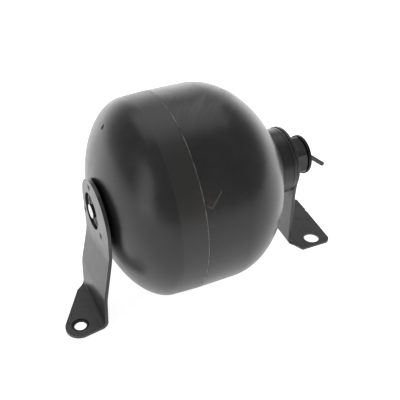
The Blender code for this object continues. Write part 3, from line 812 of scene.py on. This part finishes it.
def makeGasBracket():
    look = gasBracket
    plate = [fromSeam(look["plateX"], -0.452, -0.247),
             fromSeam(look["plateX"], 0.272, -0.379)]
    for y, z in arcPoints((look["plateOffset"], 0.0), look["plateRadius"], -8, 188, 72):
        plate.append(fromSeam(look["plateX"], y, z))
    step = (fromSeam(-0.863, -0.508, -0.690), fromSeam(-0.866, 0.205, -0.735))
    bend = (fromSeam(-0.893, -0.556, footLevel), fromSeam(-0.900, 0.115, footLevel))
    foot = [fromSeam(x, y, footLevel)
            for x, y in arcPoints(look["footHole"], look["footNose"], 270, 147, 40)]
    foot += [fromSeam(-0.990, 0.042, footLevel), fromSeam(-0.960, 0.065, footLevel)]
    piece = foldedSheet("gasEndBracket", plate, [step, bend], foot, look["bends"])
    tools = [roundTool(fromSeam(look["plateX"]), look["plateHole"] * tankRadius, axis='X')]
    for y, z in weldSpotPlaces():
        tools.append(roundTool(fromSeam(look["plateX"], y, z), weldSpots["radius"] + gap,
                               axis='X', steps=40))
    tools.append(roundTool(fromSeam(*look["footHole"], footLevel), look["boltRadius"]))
    tools.append(roundTool(fromSeam(*look["locatingHole"], footLevel),
                           look["locatingRadius"], steps=32))
    for tool in tools:
        cutWith(piece, tool)
    softenEdges(piece, sheetEdge, 3, 32)
    settle(piece, tools, bracketCoat, "tank", ["gas_end_bracket"])


def makePlateWelds():
    # plug welds: a low crown with a sunken middle, as the arc leaves it
    near = gasDomeX(weldSpots["circle"] * tankRadius, seatClearance)
    face = gasBracket["plateX"] * tankRadius
    radius = weldSpots["radius"]
    for i, (y, z) in enumerate(weldSpotPlaces()):
        profile = [(near, 0.0), (near, radius), (face + 0.1 * mm, radius)]
        profile += [(face - 0.25 * mm, radius - 0.35 * mm), (face - 0.38 * mm, radius * 0.55),
                    (face - 0.30 * mm, radius * 0.28), (face - 0.16 * mm, radius * 0.12),
                    (face - 0.12 * mm, 0.0)]
        bm = spinProfile(profile, 40, seam + Vector((0, y, z)) * tankRadius)
        keepMesh(bm, f"plugWeld{i + 1}", bracketCoat, "tank",
                 [f"plate_weld_{i + 1}"], 50)


def makePortBracket():
    look = portBracket
    plateAt = plateX / tankRadius
    plate = [fromSeam(plateAt, 0.325, -0.250), fromSeam(plateAt, -0.297, -0.250)]
    for y, z in arcPoints((look["plateOffset"], 0.0), look["plateRadius"], 200, -20, 72):
        plate.append(fromSeam(plateAt, y, z))
    bend = (fromSeam(1.430, 0.235, footLevel), fromSeam(1.393, -0.243, footLevel))
    outline = [(1.465, 0.233), (1.478, 0.430), (1.852, 0.430), (1.886, 0.396),
               (1.872, 0.195), (1.860, 0.172), (1.866, 0.140)]
    outline += arcPoints((1.752, -0.338), 0.072, 3, -90, 20)
    outline.append((1.460, -0.401))
    foot = [fromSeam(x, y, footLevel) for x, y in outline]
    piece = foldedSheet("portEndBracket", plate, [bend], foot, look["bends"])
    tools = [roundTool(fromSeam(plateAt), neck["spigotRadius"] + 0.5 * mm, axis='X'),
             roundTool(fromSeam(*look["footHole"], footLevel), look["boltRadius"])]
    for tool in tools:
        cutWith(piece, tool)
    softenEdges(piece, sheetEdge, 3, 32)
    settle(piece, tools, bracketCoat, "tank", ["port_end_bracket"])


makeGasBracket()
makePlateWelds()
makePortBracket()
print("brackets ready")


stud = {"radius": 0.071, "endX": -0.765, "shankRadius": 1.8 * mm, "pastWall": 2.2 * mm}


def makeStudFinish(endX):
    # blacked sides, bright machined end
    finish = newFinish("studEnd", (0.5, 0.5, 0.49), 0.3)
    split = addNode(finish, "ShaderNodeSeparateXYZ")
    link(finish, objectPoint(finish), split.inputs["Vector"])
    bare = remap(finish, split.outputs["X"], endX + 0.12 * mm, endX + 0.32 * mm, 1.0, 0.0)
    rings = noise(finish, place(finish, (40, 2600, 2600)), 1.0, 3, 0.6)
    steel = mixColour(finish, rings, (0.74, 0.73, 0.71), (0.50, 0.49, 0.47))
    link(finish, mixColour(finish, bare, (0.012, 0.012, 0.013), steel),
         shaderOf(finish).inputs["Base Color"])
    link(finish, bare, shaderOf(finish).inputs["Metallic"])
    link(finish, remap(finish, rings, 0.3, 0.7, 0.26, 0.44),
         shaderOf(finish).inputs["Roughness"])
    link(finish, addBump(finish, rings, 0.12, 0.00005), shaderOf(finish).inputs["Normal"])
    return finish


def makeFillPlug():
    end = stud["endX"] * tankRadius
    radius = stud["radius"] * tankRadius
    base = gasDomeX(0.0) - gap
    shank = stud["shankRadius"]
    soft = 0.35 * mm
    profile = [(end + 0.12 * mm, 0.0), (end + 0.10 * mm, 0.5 * mm), (end, 0.8 * mm),
               (end, radius - soft)]
    profile += arcPoints((end + soft, radius - soft), soft, 180, 90, 6)[1:]
    tip = base + tank["wall"] + stud["pastWall"]
    profile += [(base - 0.2 * mm, radius), (base, radius - 0.2 * mm), (base, shank),
                (tip, shank), (tip, 0.0)]
    bm = spinProfile(profile, 96)
    keepMesh(bm, "fillPlugStud", makeStudFinish(seam.x + end), "tank",
             ["gas_fill_plug"], 40)


def makeFootRing():
    centre = fromSeam(*gasBracket["footHole"], -1.0)
    inner, outer = gasBracket["ringBore"], gasBracket["boltRadius"] - gasBracket["ringFit"]
    low, high, soft = gap, sheet - gap, 0.2 * mm
    points = [(inner + soft, low), (outer - soft, low), (outer, low + soft),
              (outer, high - soft), (outer - soft, high), (inner + soft, high),
              (inner, high - soft), (inner, low + soft)]
    bm = bmesh.new()
    verts = [bm.verts.new(centre + Vector((radius, 0, height))) for radius, height in points]
    edges = [bm.edges.new((verts[i - 1], verts[i])) for i in range(len(verts))]
    spinAround(bm, verts + edges, centre, (0, 0, 1), 72)
    keepMesh(bm, "footBoltRing", blackPlastic, "tank",
             ["foot_bolt_ring"], 50)


makeFillPlug()
makeFootRing()


diaphragm = {"thickness": 2.0 * mm, "clear": 1.0 * mm, "hole": 2.8 * mm, "rimInner": 52.5 * mm,
             "flattened": 0.09}


def makeDiaphragm():
    # drawn blown out against the fluid dome
    look = diaphragm
    barrel = tank["barrel"] * tankRadius
    radius = tankRadius - tank["wall"] - look["clear"]
    depth = tank["fluidDepth"] * tankRadius - tank["wall"] - look["clear"]
    outer = domeOutline(barrel, 1, depth, radius, tank["fluidCurve"], look["hole"], 28)
    inner = domeOutline(barrel, 1, depth - look["thickness"], radius - look["thickness"],
                        tank["fluidCurve"], look["hole"], tank["innerPoints"])
    bead = [(gap, look["rimInner"]), (gap, tank["seatRadius"] - gap),
            (tank["seatDepth"] - gap, tank["seatRadius"] - gap),
            (tank["seatDepth"] - gap, radius)]
    bm = spinProfile(bead + outer + inner[::-1], 128)
    piece = keepMesh(bm, "diaphragmSkin", rubberSkin, "tank",
                     ["diaphragm"])
    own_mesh(piece)


makeDiaphragm()

# the hidden seal, clamp ring and button keep their CAD shape and take these finishes
for nodeName, finish in (("fill_plug_seal", rubberSkin),
                         ("diaphragm_clamp_ring", bareSteel), ("closing_button", bareSteel)):
    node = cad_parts[nodeName]
    if not node.material_slots:
        node.data.materials.append(finish)
    for finishSlot in node.material_slots:
        finishSlot.material = finish
print("inner pieces ready")


# places and sizes in metres, the lens and sensor in millimetres, the stand in tank radii
studio = {"floorSize": 6.0, "floorDrop": 0.2 * mm, "frontGlow": 0.80, "backGlow": 1.7,
          "glowFrom": -0.10, "glowTo": 0.45, "backwards": (0.43, 0.90), "bright": 2.5,
          "dim": 0.35, "dimFrom": -0.88, "dimTo": -0.22, "topPower": 3.2, "leftPower": 1.5}
view = {"lens": 59.285, "sensor": 36.0, "clipStart": 0.01, "stand": (-1.969, -4.919, 3.791),
        "right": Vector((0.9022, -0.4313, 0.0)), "ahead": Vector((0.3475, 0.7260, -0.5939))}


def makeFloor():
    bm = bmesh.new()
    bmesh.ops.create_grid(bm, x_segments=1, y_segments=1, size=studio["floorSize"] / 2)
    bmesh.ops.translate(bm, verts=bm.verts, vec=(0, 0, -studio["floorDrop"]))
    mesh = bpy.data.meshes.new("studioFloor")
    bm.to_mesh(mesh)
    bm.free()
    finish = newFinish("paleFloor", (0.86, 0.86, 0.86), 0.9, specular=0.2)
    cloud = noise(finish, objectPoint(finish), 3, 3, 0.5)
    link(finish, mixColour(finish, cloud, (0.70, 0.70, 0.70), (0.73, 0.73, 0.73)),
         shaderOf(finish).inputs["Base Color"])
    # the floor is a light table that glows more towards the back, so shadows stay pale
    shaderOf(finish).inputs["Emission Color"].default_value = (1.0, 1.0, 1.0, 1.0)
    split = addNode(finish, "ShaderNodeSeparateXYZ")
    link(finish, objectPoint(finish), split.inputs["Vector"])
    alongX, alongY = studio["backwards"]
    depth = combine(finish, 'ADD', combine(finish, 'MULTIPLY', split.outputs["X"], alongX),
                    combine(finish, 'MULTIPLY', split.outputs["Y"], alongY))
    link(finish, remap(finish, depth, studio["glowFrom"], studio["glowTo"],
                       studio["frontGlow"], studio["backGlow"]),
         shaderOf(finish).inputs["Emission Strength"])
    mesh.materials.append(finish)
    floor = bpy.data.objects.new("studioFloor", mesh)
    bpy.context.scene.collection.objects.link(floor)


def makeLight(name, where, size, power, target):
    data = bpy.data.lights.new(name, 'AREA')
    data.shape = 'RECTANGLE'
    data.size, data.size_y = size
    data.energy = power
    lamp = bpy.data.objects.new(name, data)
    lamp.location = where
    lamp.rotation_euler = (Vector(target) - Vector(where)).to_track_quat('-Z', 'Y').to_euler()
    bpy.context.scene.collection.objects.link(lamp)


def makeStudio():
    world = bpy.data.worlds.new("paleStudio")
    bpy.context.scene.world = world
    world.use_nodes = True
    background = world.node_tree.nodes["Background"]
    background.inputs["Color"].default_value = (1.0, 1.0, 1.0, 1.0)
    # a white tent, with its dim opening on the side that the object is looked at from
    tent = world.node_tree
    direction = tent.nodes.new("ShaderNodeTexCoord")
    towards = tent.nodes.new("ShaderNodeVectorMath")
    towards.operation = 'DOT_PRODUCT'
    towards.inputs[1].default_value = -view["ahead"]
    fade = tent.nodes.new("ShaderNodeMapRange")
    fade.interpolation_type = 'SMOOTHSTEP'
    for socket, value in (("From Min", studio["dimFrom"]), ("From Max", studio["dimTo"]),
                          ("To Min", studio["bright"]), ("To Max", studio["dim"])):
        fade.inputs[socket].default_value = value
    tent.links.new(direction.outputs["Generated"], towards.inputs[0])
    tent.links.new(towards.outputs["Value"], fade.inputs["Value"])
    tent.links.new(fade.outputs["Result"], background.inputs["Strength"])
    makeFloor()
    makeLight("topSoftbox", seam + Vector((0.10, 0.45, 1.0)), (1.2, 0.8),
              studio["topPower"], seam)
    makeLight("leftSoftbox", seam + Vector((-0.80, -0.20, 0.15)), (0.35, 0.9),
              studio["leftPower"], seam)


def makeCamera():
    data = bpy.data.cameras.new("camera")
    data.lens = view["lens"]
    data.sensor_width = view["sensor"]
    data.clip_start = view["clipStart"]
    camera = bpy.data.objects.new("camera", data)
    right = view["right"].normalized()
    ahead = view["ahead"].normalized()
    right = (right - ahead * right.dot(ahead)).normalized()
    up = right.cross(ahead)
    stand = Matrix((right, up, -ahead)).transposed().to_4x4()
    stand.translation = fromSeam(*view["stand"])
    camera.matrix_world = stand
    bpy.context.scene.collection.objects.link(camera)
    bpy.context.scene.camera = camera


makeStudio()
makeCamera()
bpy.context.scene.view_settings.view_transform = 'Standard'
print("studio ready")
